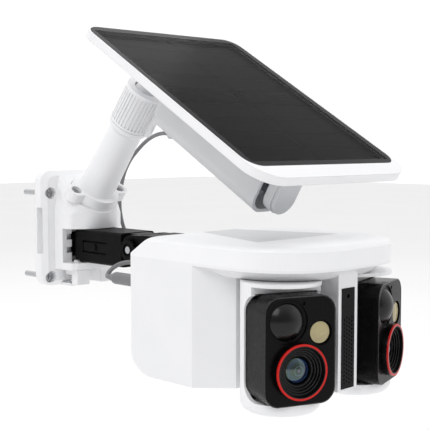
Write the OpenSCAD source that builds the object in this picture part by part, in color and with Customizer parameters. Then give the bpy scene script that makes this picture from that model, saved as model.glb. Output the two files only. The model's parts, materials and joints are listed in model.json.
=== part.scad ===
// Solar-powered security camera on a wall bracket.
// Frame: origin at the centre of the four wall screws on the wall face, +X to the right seen
// from the front, +Y into the wall, +Z up.

/* [Wall bracket] */
// Width of the wall plate
plate_w = 70; // [66:1:84]
// Thickness of the wall plate
plate_t = 11; // [10:0.5:14]
// Top of the wall plate above the screw centre
plate_top = 49; // [46:1:56]
// Bottom of the wall plate below the screw centre
plate_low = 39; // [38:1:48]
// Distance between wall screws, across
screw_dx = 56; // [52:1:60]
// Distance between wall screws, up and down
screw_dz = 64; // [60:1:68]
// Radius of a wall screw's shank
screw_r = 2.1; // [1.8:0.1:2.4]
// Length of the wall screws behind the wall face
screw_reach = 22; // [16:1:32]
// Width of the raised housing
housing_w = 50; // [48:1:54]
// How far the housing stands out from the wall
housing_d = 33; // [30:1:36]

/* [Quick release adapter] */
// Width of the adapter
adapter_w = 32; // [28:1:34]
// Height of the adapter
adapter_h = 25; // [23:1:26]
// Play between the adapter and its socket on each side
socket_play = 0.4; // [0.3:0.05:0.8]
// Distance of the tilt hinge from the wall
hinge_y = 90; // [86:1:96]
// Height of the tilt hinge
hinge_z = -6; // [-8:0.5:-5]
// Radius of the tilt hinge knuckles
knuckle_r = 10.5; // [9.5:0.5:11.5]
// Radius of the tilt hinge bolt
hinge_bolt_r = 2.5; // [2:0.1:3]

/* [Solar panel pole] */
// Lean of the pole, forwards from vertical
pole_lean = 39; // [35:0.1:40]
// Length of the pole from its base to the lock ring
pole_l = 70; // [62:1:71]
// Radius of the pole at its base
pole_r = 14; // [13:0.5:15]
// Radius of the knurled lock ring over its ribs
ring_r = 15; // [14.6:0.1:17]
// Height of the knurled lock ring
ring_h = 31; // [30:0.5:34]
// Number of ribs round the lock ring
ring_ribs = 34; // [24:1:40]
// Radius of the ball
ball_r = 10; // [9.6:0.1:10.2]
// Running clearance of pins, shafts and threads
run_gap = 0.08; // [0.05:0.01:0.1]

/* [Solar panel] */
// Length of the panel glass, front to rear
glass_l = 174; // [160:1:190]
// Width of the panel glass
glass_w = 139; // [130:1:150]
// Width of the frame beside the glass
frame_lip = 1.6; // [1.2:0.1:3]
// Width of the frame's plain front edge
frame_chin = 13; // [8:0.5:18]
// Thickness of the frame's rim
frame_t = 5.5; // [5:0.5:8]
// Tilt of the panel, forwards from level
panel_tilt = 30.75; // [24:0.25:36]
// Depth of the roll axis below the glass
roll_drop = 39.5; // [38:0.5:42]
// Width of the tracker beam under the panel
beam_w = 30; // [28:1:32]

/* [Camera body] */
// Width of the camera body
body_w = 125.4; // [120:0.2:136]
// Distance of the body's rear wall from the wall face
body_rear = 142.5; // [140:0.5:150]
// Distance of the visor's front from the wall face
visor_front = 281; // [279:0.5:290]
// Height of the body below the cover seam
body_h = 76; // [74:0.5:86]
// Wall thickness of the mouldings
wall = 2.4; // [2:0.1:3]

/* [Camera modules] */
// Distance of each pan axis from the middle
pan_x = 35.2; // [34.5:0.1:37]
// Distance of the pan axes from the wall face
pan_y = 249; // [248:0.5:251]
// Radius of the white drum
drum_r = 24; // [22.5:0.25:24]
// Width of the black face
face_w = 46; // [42:0.5:46]
// Height of the black face
face_h = 63; // [58:0.5:64]
// Distance of the face from the pan axis
face_d = 24.3; // [23:0.1:26]
// Angle of the left module at rest, outwards
left_pan = 21; // [10:0.5:24]
// Angle of the right module at rest, outwards
right_pan = 17.5; // [10:0.5:24]
// Radius of the red lens ring
lens_ring_r = 16.2; // [14:0.1:16.4]

/* [Hidden] */
$fn = 64;

// ---- wall bracket, derived -----------------------------------------------------------
seam_z = -2;
adapter_mid_z = hinge_z - 1.5;
adapter_top = adapter_mid_z + adapter_h / 2;
adapter_low = adapter_mid_z - adapter_h / 2;
plate_edge = 4;
plate_bevel = 3.5;
plate_corner = 9;
socket_back = plate_t + 2.5;
roof_low = adapter_top + socket_play;
floor_top = adapter_low - socket_play;
floor_t = 5.4;
lip_low = floor_top - floor_t;
cheek_d = 21;
screw_play = 0.3;
counterbore_r = 4.4;
screw_seat = 3.6;
slot_d = 5.8;
slot_in = 9.5;
slot_back = 2.5;
slot_low = -14;
slot_h = 35;

// release button and its spring
button_x = -13.2;
button_w = 12.6;
button_t = 7.4;
button_y = -27.6;
tab_h = 11;
tab_top = lip_low - 0.5;
arm_w = 7.4;
arm_h = 4.2;
hook_t = 4.4;
hook_lift = 1.5;
hook_play = 0.4;
ledge_t = 1.8;
spring_y = -17.3;
spring_r = 2.3;
wire_r = 0.35;
spring_turns = 4;
spring_low = -plate_low + ledge_t + 0.05;
spring_high = tab_top - arm_h - 0.05;

// ---- pole and ball joint, derived ----------------------------------------------------
pole_base_y = -(housing_d - 6.4);
pole_base_z = 30.1;
flange_t = 8;
flange_r = 18.5;
ear_x = 20.5;
foot_play = 0.3;
ear_y = -2;
ear_r = 6.6;
ear_sink = 4.4;
pole_taper = 1.7;
collar_t = 3;
ring_gap = 0.3;
ring_low = pole_l + ring_gap;
ring_top = ring_low + ring_h;
ring_lip = 1.7;
head_r = ring_r - 1.9;
cavity_r = ball_r + 1.5;
ball_up = ring_top - 6.2;
opening_r = ball_r - 0.6;
tab_w = 6;
tab_turn = 24;
stud_r = 4.5;
stud_base_r = 9.2;
stud_base_t = 3;

// ---- solar panel and tracker, derived ------------------------------------------------
panel_y = -182.9;
panel_z = 102;
rim_x = glass_w / 2 + frame_lip;
rim_rear = glass_l / 2 + frame_lip;
rim_front = glass_l / 2 + frame_chin;
glass_corner = 11;
rim_corner = glass_corner + frame_lip;
front_corner = 20;
seat_gap = 0.1;
glass_sink = 0.2;
glass_t = 2.4;
cells_t = 1;
cells_low = glass_sink + glass_t + cells_t;
cell_edge = 5.2;
cell_rows = 9;
cell_gap = 0.7;
ledge_w = 4;
window_w = glass_w - 2 * ledge_w;
window_l = glass_l - 2 * ledge_w;
back_drop = 9;
back_skin = 0.8;

beam_h = 31;
beam_r = 11;
beam_front = 56;
beam_rear = 59;
beam_low = -roll_drop - beam_h / 2;
beam_top = -roll_drop + beam_h / 2;
beam_wall = 2.3;
lid_t = 6;
lid_play = 0.2;
lid_to = 44;
notch_from = -42;
notch_to = -22;
rib_t = 4;
rear_rib = -21;
front_rib = 38;
shaft_r = 4;
motor_r = 9;
motor_from = 0;
motor_nose = 30;
shaft_from = 33;
shelf_w = 24;
shelf_low = beam_top - 4.5;
lug_r = 10.3;
lug_from = 59;
lug_to = 65.6;
lug_cap_t = 2.6;
foot_w = 34;
foot_t = 3;
foot_x = 13.5;
rear_lug_r = 7;
rear_lug_from = -41.4;
rear_lug_to = -32.4;
trunnion_l = 9.6;

// ball centre in the panel's frame: distance up the beam and height along its normal
ball_y = pole_base_y - ball_up * sin(pole_lean);
ball_z = pole_base_z + ball_up * cos(pole_lean);
ball_along = (ball_y - panel_y) * cos(panel_tilt) + (ball_z - panel_z) * sin(panel_tilt);
ball_drop = -(ball_y - panel_y) * sin(panel_tilt) + (ball_z - panel_z) * cos(panel_tilt);

// ---- adapter and neck, derived -------------------------------------------------------
tongue_y = socket_back + 0.5;
bar_from = 25;
hinge_play = 0.4;
bar_to = hinge_y - knuckle_r - hinge_play;
knuckle_w = 17;
fork_in = knuckle_w / 2 + hinge_play;
neck_w = adapter_w;
neck_from = hinge_y + knuckle_r + hinge_play;
neck_flange_t = 4;
neck_flange_w = 48;
neck_flange_low = -24;
neck_flange_top = 7;
nut_r = 7.9;
nut_t = 3.2;
nut_teeth = 20;
latch_y = 48;
latch_l = 28;
latch_half = 4;
latch_cut = 1.1;

// ---- camera body, derived ------------------------------------------------------------
side_x = body_w / 2;
lobe_y = 202;
lobe_tip_x = 45;
bay_back = 222;
nose_r = 48;
nose_y = visor_front - nose_r;
nose_x = side_x - nose_r;
edge_r = 4;
heel_r = 22;
cover_top = 11.4;
band_top = 8.3;
bevel_y = 159;
bevel_z = 9;
bevel_low = -1.7;
floor_z = seam_z - body_h;
bay_roof = -9.5;
column_w = 18.4;
column_front = 271.5;
grille_w = 12.6;
grille_top = -16;
grille_low = -77;
grille_t = 2.4;
hole_r = 0.55;
hole_pitch = 2.4;
hole_rows = 17;
gasket_in = 0.8;
gasket_w = 1;
gasket_h = 0.8;
board_z = -12;
board_t = 1.6;
post_r = 3.5;
post_x = 48;
post_y = 18;
board_y = 190;
cell_r = 9.2;
cell_l = 66;
socket_x = -50;
socket_z = -20.5;
socket_r = 5.5;
socket_flange_t = 1.6;
plug_r = 4.1;
plug_nose_r = 2.3;
plug_nose_l = 2;
pin_r = 2.4;
cord_r = 1.5;

// ---- camera modules, derived ---------------------------------------------------------
drum_low = -87;
drum_gap = 0.4;
drum_top = bay_roof - drum_gap;
drum_edge = 6;
drum_front = 7;
drum_rim = 2.1;
hub_r = 6;
spindle_r = 2.5;
motor_h = 9;
pan_motor_r = 13;
face_mid = -47.8;
face_t = 2.5;
face_corner = 9.5;
flank_r = 12;
shell_t = 2.2;
ring_out = 4.5;
ring_t = 1;
ring_band = 1.7;
cone_steps = 4;
step_r = 1.35;
step_d = 1.1;
barrel_r = 12;
barrel_back = 8;
lens_r = 8.2;
dome_at = [-8.4, 17];
dome_r = 11;
dome_h = 5.2;
dome_recess_r = 13;
lamp_at = [13, 9.8];
lamp_r = 6.3;
lamp_recess_r = 7.5;
lens_at = [-1, -11.4];
eye_at = [1.8, 27.4];

// route of the cord, from the beam's gland to the plug
cord_route = [[4, -110, 76], [9, -99, 77], [15, -86, 76.5], [20, -73, 74.5], [24, -60, 70.5],
    [27, -48, 64.5], [29, -37, 57], [30.5, -28, 47], [31, -23, 35], [31, -21, 21], [31, -24, 7],
    [30, -32, -4], [27, -44, -9], [24, -58, -11], [22, -74, -12], [21, -90, -12], [20, -105, -15],
    [14, -118, -20], [4, -125, -24], [-8, -128, -25], [-19, -127, -21], [-28, -123, -15],
    [-34, -116, -11.5], [-38, -108, -12], [-42, -103, -15], [-46, -102, -18.5],
    [-49.4, -105, -20.4], [-50, -110, -20.5]];
gland_r = 3.2;
gland_l = 13;
cord_steps = 2;
cord_sides = 8;

// ---- placing helpers -----------------------------------------------------------------
module at_panel() {
    translate([0, panel_y, panel_z]) rotate([panel_tilt, 0, 0]) children();
}

module at_pole() {
    translate([0, pole_base_y, pole_base_z]) rotate([pole_lean, 0, 0]) children();
}

// side is -1 for the left module and 1 for the right one; local -Y points out of the face
module at_module(side) {
    turn = side < 0 ? -left_pan : right_pan;
    translate([side * pan_x, -pan_y, 0]) rotate([0, 0, turn]) children();
}

// point of the module's face, given as [across, up from the middle]
module at_face(spot) {
    translate([spot[0], 0, face_mid + spot[1]]) children();
}

// rounded rectangle made of bars and corner discs
module soft_rect(w, d, r) {
    square([w, d - 2 * r], center = true);
    square([w - 2 * r, d], center = true);
    for (x = [-1, 1], y = [-1, 1])
        translate([x * (w / 2 - r), y * (d / 2 - r)]) circle(r);
}

module soft_plate(w, d, r, t) {
    linear_extrude(t) soft_rect(w, d, r);
}

// slab along Y: width along X, height along Z, from y = a down to y = b
module y_slab(w, h, r, a, b) {
    translate([0, a, 0]) rotate([90, 0, 0]) soft_plate(w, h, r, a - b);
}

module y_rod(r, a, b) {
    translate([0, a, 0]) rotate([90, 0, 0]) cylinder(r = r, h = a - b);
}

module x_rod(r, a, b) {
    translate([a, 0, 0]) rotate([0, 90, 0]) cylinder(r = r, h = b - a);
}

// extrudes a profile drawn in [y, z] along X, centred on the middle plane
module across(width) {
    translate([-width / 2, 0, 0]) rotate([90, 0, 90]) linear_extrude(width) children();
}

// cross-head screw along -Z: pan head from z = 0 up, shank below
module cross_screw(head_r, head_h, shank_r, shank_l) {
    difference() {
        union() {
            cylinder(r = head_r, h = head_h);
            translate([0, 0, -shank_l]) cylinder(r = shank_r, h = shank_l + 0.01);
        }
        for (a = [0, 90]) rotate([0, 0, a])
            translate([-head_r * 0.6, -head_r * 0.12, head_h * 0.45])
                cube([head_r * 1.2, head_r * 0.24, head_h]);
    }
}

// ---- wall bracket --------------------------------------------------------------------
module wall_plate() {
    mid_z = (plate_top - plate_low) / 2;
    plate_h = plate_top + plate_low;
    translate([0, 0, mid_z]) hull() {
        y_slab(plate_w, plate_h, plate_corner, 0, -plate_t + plate_bevel, $fn = 32);
        y_slab(plate_w - 2 * plate_edge, plate_h - 2 * plate_edge, plate_corner - 2,
            0, -plate_t, $fn = 32);
    }
}

// box with its two front corners rounded, from the wall out to depth d
module soft_box(w, d, r, h) {
    linear_extrude(h) union() {
        translate([-w / 2, -d + r]) square([w, d - r]);
        translate([-w / 2 + r, -d]) square([w - 2 * r, r]);
        for (x = [-1, 1]) translate([x * (w / 2 - r), -d + r]) circle(r, $fn = 32);
    }
}

module housing_block() {
    hull() {
        translate([0, 0, lip_low]) soft_box(housing_w, housing_d, 6, 12);
        translate([0, 0, 12]) soft_box(housing_w, housing_d, 6, 4);
        at_pole() translate([0, 0, -3]) cylinder(r = flange_r + 2, h = 3, $fn = 48);
        translate([0, 0, plate_top - 6]) soft_box(housing_w - 8, plate_t + 1, 4, 2);
    }
}

module bracket() {
    color("white") difference() {
        union() {
            wall_plate();
            housing_block();
            // block beside the release button
            translate([3.6, -housing_d + 2, lip_low - tab_h]) cube([10.8, housing_d - plate_t, tab_h + 1]);
            // ledge that carries the button spring
            translate([button_x - 4.3, -cheek_d, -plate_low]) cube([8.6, cheek_d - plate_t / 4, ledge_t]);
        }
        // socket for the adapter, open at the front and at the cheeks
        translate([-adapter_w / 2 - socket_play, -2 * housing_d, floor_top])
            cube([adapter_w + 2 * socket_play, 2 * housing_d - socket_back, roof_low - floor_top]);
        translate([-housing_w / 2 - 1, -2 * housing_d, floor_top])
            cube([housing_w + 2, 2 * housing_d - cheek_d, roof_low - floor_top]);
        // stepped catches in the cheeks
        for (x = [-1, 1], z = [0, 10])
            translate([x * (adapter_w / 2 + 2.5) - 2.5, -cheek_d - 1, floor_top + 7 + z])
                cube([5, 4.5, 4.5]);
        // passage for the hook of the release button
        translate([button_x - arm_w / 2 - hook_play, button_y - 1.4, lip_low - 1])
            cube([arm_w + 2 * hook_play, hook_t + 2 * hook_play, floor_t + 2]);
        // wall screw holes with counterbores
        for (x = [-1, 1], z = [-1, 1]) translate([x * screw_dx / 2, 0, z * screw_dz / 2]) {
            y_rod(screw_r + screw_play, 1, -plate_t - 1);
            y_rod(counterbore_r, -screw_seat, -plate_t - 12);
        }
        // strap slots, from each side edge of the plate out of its back
        for (x = [-1, 1]) translate([x * (plate_w / 2 - slot_in / 2 + 1) - slot_in / 2 - 1, -slot_back - slot_d, slot_low])
            cube([slot_in + 2, slot_d, slot_h]);
        for (x = [-1, 1]) translate([x * (plate_w / 2 - slot_in + 2.4) - 2.4, -slot_back - slot_d, slot_low])
            cube([4.8, slot_d + slot_back + 1, slot_h]);
        // seat of the pole's foot
        at_pole() pole_foot(foot_play, 3 * flange_t);
        // blind holes for the two pole screws
        at_pole() for (x = [-1, 1]) translate([x * ear_x, ear_y, -12]) cylinder(r = 1.6, h = 13);
    }
}

module wall_screws() {
    color("silver") for (x = [-1, 1], z = [-1, 1])
        translate([x * screw_dx / 2, -screw_seat, z * screw_dz / 2]) {
            rotate([90, 0, 0]) cross_screw(3.9, 2.6, screw_r - 0.3, screw_seat);
            y_rod(screw_r, screw_reach + screw_seat, screw_seat);
        }
}

module release_button() {
    color("white") union() {
        translate([button_x, button_y, tab_top - tab_h]) soft_plate(button_w, button_t, 1.6, tab_h);
        translate([button_x - arm_w / 2, button_y, tab_top - arm_h])
            cube([arm_w, spring_y + spring_r + 1.5 - button_y, arm_h]);
        translate([button_x - arm_w / 2, button_y - 1, tab_top - 1])
            cube([arm_w, hook_t, 1 + floor_top - tab_top + hook_lift]);
    }
}

// ring of points round the spring's wire, at fraction t of its length
function wire_ring(t, n) = let (a = 360 * spring_turns * t,
    z = spring_low + wire_r + (spring_high - spring_low - 2 * wire_r) * t)
    [for (k = [0:n - 1]) let (b = 360 * k / n, r = spring_r + wire_r * cos(b))
        [r * cos(a), r * sin(a), z + wire_r * sin(b)]];

// closed tube through rings of n points each
module tube(points, rings, n) {
    sides = [for (i = [0:rings - 2], k = [0:n - 1], half = [0, 1])
        let (a = i * n + k, b = i * n + (k + 1) % n, c = b + n, d = a + n)
        half == 0 ? [a, b, c] : [a, c, d]];
    polyhedron(points, concat([[for (k = [n - 1:-1:0]) k]], sides,
        [[for (k = [0:n - 1]) (rings - 1) * n + k]]));
}

module button_spring() {
    n = 8;
    rings = 57;
    color("silver") translate([button_x, spring_y, 0])
        tube([for (i = [0:rings - 1]) each wire_ring(i / (rings - 1), n)], rings, n);
}

// ---- pole and ball joint -------------------------------------------------------------
// flange with two screw ears, grown by a margin
module pole_foot(grow, h) {
    cylinder(r = flange_r + grow, h = h);
    for (x = [-1, 1]) translate([x * ear_x, ear_y, 0]) cylinder(r = ear_r + grow, h = h);
    translate([-ear_x, ear_y - ear_r - grow, 0]) cube([2 * ear_x, 2 * (ear_r + grow), h]);
}

module solar_pole() {
    color("white") at_pole() difference() {
        union() {
            pole_foot(0, flange_t);
            translate([0, 0, flange_t - 1])
                cylinder(r1 = pole_r, r2 = pole_r - pole_taper, h = pole_l - flange_t + 1);
            translate([0, 0, pole_l - collar_t - 3])
                cylinder(r1 = pole_r - pole_taper, r2 = ring_r, h = 3);
            translate([0, 0, pole_l - collar_t]) cylinder(r = ring_r, h = collar_t);
            // threaded head inside the lock ring
            translate([0, 0, pole_l - 1]) cylinder(r = head_r, h = ball_up + 2.2 - pole_l);
        }
        translate([0, 0, ball_up]) sphere(r = cavity_r, $fn = 96);
        translate([0, 0, ball_up]) cylinder(r = cavity_r, h = 6);
        // light hollow and screw holes
        translate([0, 0, -1]) cylinder(r = pole_r - 5, h = pole_l);
        for (x = [-1, 1]) translate([x * ear_x, ear_y, 0]) {
            translate([0, 0, -1]) cylinder(r = 1.9, h = flange_t + 2);
            translate([0, 0, flange_t - ear_sink]) cylinder(r = 4, h = ear_sink + 1);
        }
    }
}

module pole_screws() {
    color("silver") at_pole() for (x = [-1, 1]) translate([x * ear_x, ear_y, flange_t - ear_sink])
        cross_screw(3.2, 2.2, 1.55, 14);
}

module lock_ring() {
    rib_h = ring_h - 7;
    color("white") at_pole() translate([0, 0, ring_low]) difference() {
        union() {
            cylinder(r = ring_r - 0.9, h = ring_h);
            cylinder(r = ring_r, h = 2);
            translate([0, 0, ring_h - 3]) cylinder(r = ring_r, h = 3);
            for (i = [0:ring_ribs - 1]) rotate([0, 0, 360 * i / ring_ribs])
                translate([ring_r - 1.6, -0.75, 1]) cube([1.5, 1.5, rib_h + 3.5]);
            // flat finger tab
            rotate([0, 0, tab_turn]) translate([-tab_w / 2, -ring_r - 3, 0])
                cube([tab_w, 5, ring_h - 12]);
        }
        // running bore over the threaded head
        translate([0, 0, -1]) cylinder(r = head_r + run_gap, h = ring_h - ring_lip + 1);
        cylinder(r = opening_r, h = ring_h + 1);
    }
}

// band of a hollow ball between two radii and two heights
module ball_band(r_in, r_out, z_low, z_high) {
    translate([0, 0, ball_up]) rotate_extrude($fn = 96) intersection() {
        difference() {
            circle(r = r_out, $fn = 96);
            circle(r = r_in, $fn = 96);
        }
        translate([0, z_low]) square([r_out + 1, z_high - z_low]);
    }
}

module socket_gasket() {
    color("dimgray") at_pole() translate([0, 0, ball_up]) difference() {
        translate([0, 0, 1.6]) cylinder(r = head_r - 0.5, h = 2.6);
        sphere(r = ball_r + 0.3, $fn = 96);
    }
}

module friction_cup() {
    color("ivory") at_pole() ball_band(ball_r + 0.9, cavity_r - 0.3, -9.6, -1.6);
}

module friction_pad() {
    color("dimgray") at_pole() ball_band(ball_r + 0.3, ball_r + 0.6, -8.6, -3.4);
}

// places its children at the screws of the stud's base
module at_stud_screws() {
    spot = (stud_r + stud_base_r) / 2 / sqrt(2);
    for (x = [-1, 1], y = [-1, 1])
        translate([x * spot, ball_along + y * spot, shelf_low - stud_base_t]) children();
}

module ball_stud() {
    color("gainsboro") at_panel() difference() {
        translate([0, ball_along, 0]) union() {
            translate([0, 0, ball_drop]) sphere(r = ball_r, $fn = 96);
            translate([0, 0, ball_drop]) cylinder(r = stud_r, h = shelf_low - ball_drop);
            translate([0, 0, shelf_low - stud_base_t]) cylinder(r = stud_base_r, h = stud_base_t);
        }
        at_stud_screws() translate([0, 0, -1]) cylinder(r = 1.1, h = stud_base_t + 2);
    }
}

// ---- solar tracker -------------------------------------------------------------------
// beam section in x and z about the roll axis
module beam_section(inset) {
    translate([0, -roll_drop])
        soft_rect(beam_w - 2 * inset, beam_h - 2 * inset, beam_r - inset);
}

// extrudes a section drawn in [x, z] down the beam
module along_beam(from, to) {
    translate([0, -from, 0]) rotate([90, 0, 0]) linear_extrude(to - from) children();
}

module beam_rib(from) {
    along_beam(from, from + rib_t) intersection() {
        beam_section(beam_wall / 2);
        translate([-beam_w, beam_low]) square([2 * beam_w, beam_h - lid_t]);
    }
}

module tracker_beam() {
    color("gainsboro") union() {
        at_panel() difference() {
            union() {
                difference() {
                    union() {
                        hull() {
                            along_beam(-beam_rear + 9, notch_from) beam_section(0, $fn = 32);
                            along_beam(-beam_rear + 3, notch_from)
                                beam_section(3, $fn = 32);
                            along_beam(-beam_rear, notch_from)
                                beam_section(8, $fn = 32);
                        }
                        along_beam(notch_from, beam_front) beam_section(0);
                    }
                    along_beam(notch_from, beam_front + 1) beam_section(beam_wall);
                }
                beam_rib(rear_rib);
                beam_rib(front_rib);
                // shelf that carries the ball stud
                translate([-shelf_w / 2, -notch_from, shelf_low])
                    cube([shelf_w, ball_along + notch_from, beam_top - shelf_low]);
                translate([0, ball_along, shelf_low])
                    cylinder(r = shelf_w / 2, h = beam_top - shelf_low);
            }
            // seat for the lid and window for the rear lug
            translate([-beam_w, -lid_to, beam_top - lid_t])
                cube([2 * beam_w, lid_to - notch_to, lid_t + 1]);
            translate([-beam_w, -notch_to - 0.01, -roll_drop + 6.4])
                cube([2 * beam_w, notch_to - notch_from, beam_h]);
            // bores of the roll axis
            translate([0, 0, -roll_drop]) {
                y_rod(shaft_r + run_gap, -notch_from + trunnion_l + 1, -notch_from - 1);
                y_rod(shaft_r + run_gap, -front_rib + 1, -front_rib - rib_t - 1);
            }
            // pilot holes of the lid and stud screws
            for (v = [rear_rib, front_rib]) translate([0, -v - rib_t / 2, beam_top - lid_t - 8])
                cylinder(r = 1.4, h = 9);
            at_stud_screws() cylinder(r = 1, h = stud_base_t + 3.5);
        }
        // gland of the cord
        translate([cord_route[0][0], 0, cord_route[0][2]])
            y_rod(gland_r, cord_route[0][1], cord_route[0][1] - gland_l);
    }
}

module tracker_lid() {
    color("gainsboro") at_panel() difference() {
        intersection() {
            along_beam(notch_to + lid_play, lid_to - lid_play) beam_section(0);
            translate([-beam_w, -lid_to, beam_top - lid_t]) cube([2 * beam_w, 2 * lid_to, lid_t]);
        }
        for (v = [rear_rib, front_rib]) translate([0, -v - rib_t / 2, beam_top - lid_t - 1]) {
            cylinder(r = 1.6, h = lid_t + 2);
            translate([0, 0, lid_t - 1]) cylinder(r = 3, h = 3);
        }
    }
}

module tracker_motor() {
    color("silver") at_panel() translate([0, 0, -roll_drop]) difference() {
        union() {
            y_rod(motor_r, -motor_from, -motor_nose);
            y_rod(motor_r - 1, -motor_nose + 1, -front_rib);
        }
        y_rod(shaft_r + run_gap, -shaft_from, -front_rib - 1);
    }
}

module beam_screws() {
    color("silver") at_panel() {
        for (v = [rear_rib, front_rib]) translate([0, -v - rib_t / 2, beam_top - 2])
            cross_screw(2.8, 1.6, 1.4, 9);
        at_stud_screws() rotate([180, 0, 0]) cross_screw(1.9, 1.2, 1, stud_base_t + 3);
    }
}

module roll_shaft() {
    color("silver") at_panel() translate([0, 0, -roll_drop])
        y_rod(shaft_r, -shaft_from - hinge_play, -lug_to);
}

// ---- solar panel ---------------------------------------------------------------------
// outline of the panel, inset by a margin; its two front corners are rounder
module panel_outline(inset) {
    x = rim_x - inset;
    rear = rim_rear - inset;
    front = rim_front - inset;
    rc = max(rim_corner - inset, 2);
    fc = max(front_corner - inset, 2);
    translate([-x, -front + fc]) square([2 * x, front - fc + rear - rc]);
    translate([-x + rc, rear - rc - 1]) square([2 * (x - rc), rc + 1]);
    translate([-x + fc, -front]) square([2 * (x - fc), fc + 1]);
    for (s = [-1, 1]) {
        translate([s * (x - rc), rear - rc]) circle(rc);
        translate([s * (x - fc), -front + fc]) circle(fc);
    }
}

module panel_frame() {
    color("white") at_panel() difference() {
        translate([0, 0, -frame_t]) linear_extrude(frame_t) panel_outline(0);
        // seat of the glass, and the window under it
        translate([0, 0, -glass_sink - glass_t])
            soft_plate(glass_w + 2 * seat_gap, glass_l + 2 * seat_gap, glass_corner, frame_t);
        translate([0, 0, -frame_t - 1]) soft_plate(window_w, window_l, 4, frame_t + 1);
    }
}

module panel_back() {
    color("whitesmoke") at_panel() difference() {
        union() {
            translate([0, 0, -frame_t])
                soft_plate(window_w - 2 * seat_gap, window_l - 2 * seat_gap, 4, frame_t - cells_low);
            hull($fn = 32) {
                translate([0, 0, -frame_t - back_skin]) linear_extrude(back_skin) panel_outline(2.5);
                translate([0, 0, -back_drop]) linear_extrude(back_skin) panel_outline(17);
            }
        }
        at_lug_screws() cylinder(r = 1.4, h = foot_t + 4.4);
    }
}

module solar_cells() {
    cell_w = (glass_w - 2 * cell_edge - cell_gap) / 2;
    row_l = (glass_l - 2 * cell_edge + cell_gap) / cell_rows;
    color("black") at_panel() for (s = [-1, 1], i = [0:cell_rows - 1])
        translate([s * (cell_w + cell_gap) / 2 - cell_w / 2,
            -glass_l / 2 + cell_edge + i * row_l, -cells_low])
            cube([cell_w, row_l - cell_gap, cells_t]);
}

module panel_glass() {
    color("dimgray") at_panel() translate([0, 0, -glass_sink - glass_t])
        soft_plate(glass_w, glass_l, glass_corner, glass_t);
}

// ---- lugs of the roll axis -----------------------------------------------------------
module lug_profile(r) {
    translate([0, -roll_drop]) circle(r);
    translate([-r, -roll_drop]) square([2 * r, roll_drop - back_drop - foot_t / 2]);
}

// places its children at the feet's screws, on the feet's lower faces
module at_lug_screws() {
    for (x = [-1, 1], v = [(lug_from + lug_to) / 2, (rear_lug_from + rear_lug_to) / 2])
        translate([x * foot_x, -v, -back_drop - foot_t]) children();
}

module lug_foot(from, to) {
    difference() {
        translate([-foot_w / 2, -to, -back_drop - foot_t]) cube([foot_w, to - from, foot_t]);
        at_lug_screws() translate([0, 0, -1]) cylinder(r = 1.7, h = foot_t + 2);
    }
}

module front_lug() {
    color("gainsboro") at_panel() difference() {
        union() {
            along_beam(lug_from, lug_to) lug_profile(lug_r);
            lug_foot(lug_from - 1.5, lug_to);
        }
        translate([0, 0, -roll_drop]) y_rod(shaft_r, -lug_from + 1, -lug_to - 1);
    }
}

module rear_lug() {
    color("gainsboro") at_panel() union() {
        along_beam(rear_lug_from, rear_lug_to) lug_profile(rear_lug_r);
        lug_foot(rear_lug_from, rear_lug_to);
        translate([0, 0, -roll_drop]) y_rod(shaft_r, -rear_lug_from + trunnion_l, -rear_lug_from - 1);
    }
}

module lug_cap() {
    color("gainsboro") at_panel() along_beam(lug_to, lug_to + lug_cap_t) lug_profile(lug_r - 0.8);
}

module lug_screws() {
    color("silver") at_panel() at_lug_screws() rotate([180, 0, 0]) cross_screw(2.7, 1.6, 1.35, 7.2);
}

// ---- adapter and tilt hinge ----------------------------------------------------------
module adapter() {
    flank = adapter_w / 2;
    color("dimgray") difference() {
        union() {
            translate([0, 0, adapter_mid_z]) {
                y_slab(adapter_w - 8, adapter_h - 6, 2, -tongue_y, -bar_from - 1);
                y_slab(adapter_w, adapter_h, 2.5, -bar_from, -bar_to);
            }
            translate([0, -hinge_y, hinge_z]) x_rod(knuckle_r, -knuckle_w / 2, knuckle_w / 2);
            translate([-knuckle_w / 2, -hinge_y, hinge_z - knuckle_r])
                cube([knuckle_w, hinge_y - bar_to + 1, 2 * knuckle_r]);
            // round boss on each snap latch
            translate([0, -latch_y, adapter_mid_z]) x_rod(2.6, -flank - 1, flank + 1);
        }
        translate([0, -hinge_y, hinge_z])
            x_rod(hinge_bolt_r + run_gap, -knuckle_w, knuckle_w);
        // cuts that free the snap latches
        for (x = [-1, 1], z = [-1, 1])
            translate([x * flank - 2, -latch_y - latch_l / 2, adapter_mid_z + z * latch_half - latch_cut / 2])
                cube([4, latch_l, latch_cut]);
        for (x = [-1, 1])
            translate([x * flank - 2, -latch_y + latch_l / 2 - latch_cut, adapter_mid_z - latch_half])
                cube([4, latch_cut, 2 * latch_half]);
        // groove for the hook of the release button
        translate([button_x - arm_w / 2 - hook_play, button_y - 1.4, adapter_low - 1])
            cube([arm_w + 2 * hook_play, hook_t + 2 * hook_play, 1 + hook_lift + hook_play]);
    }
}

// places its children at the neck's screws, on the flange's rear face
module at_neck_screws() {
    for (x = [-1, 1], z = [neck_flange_low + 4.5, seam_z - 4.5])
        translate([x * (neck_w + neck_flange_w) / 4, -body_rear + neck_flange_t, z])
            rotate([-90, 0, 0]) children();
}

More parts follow.
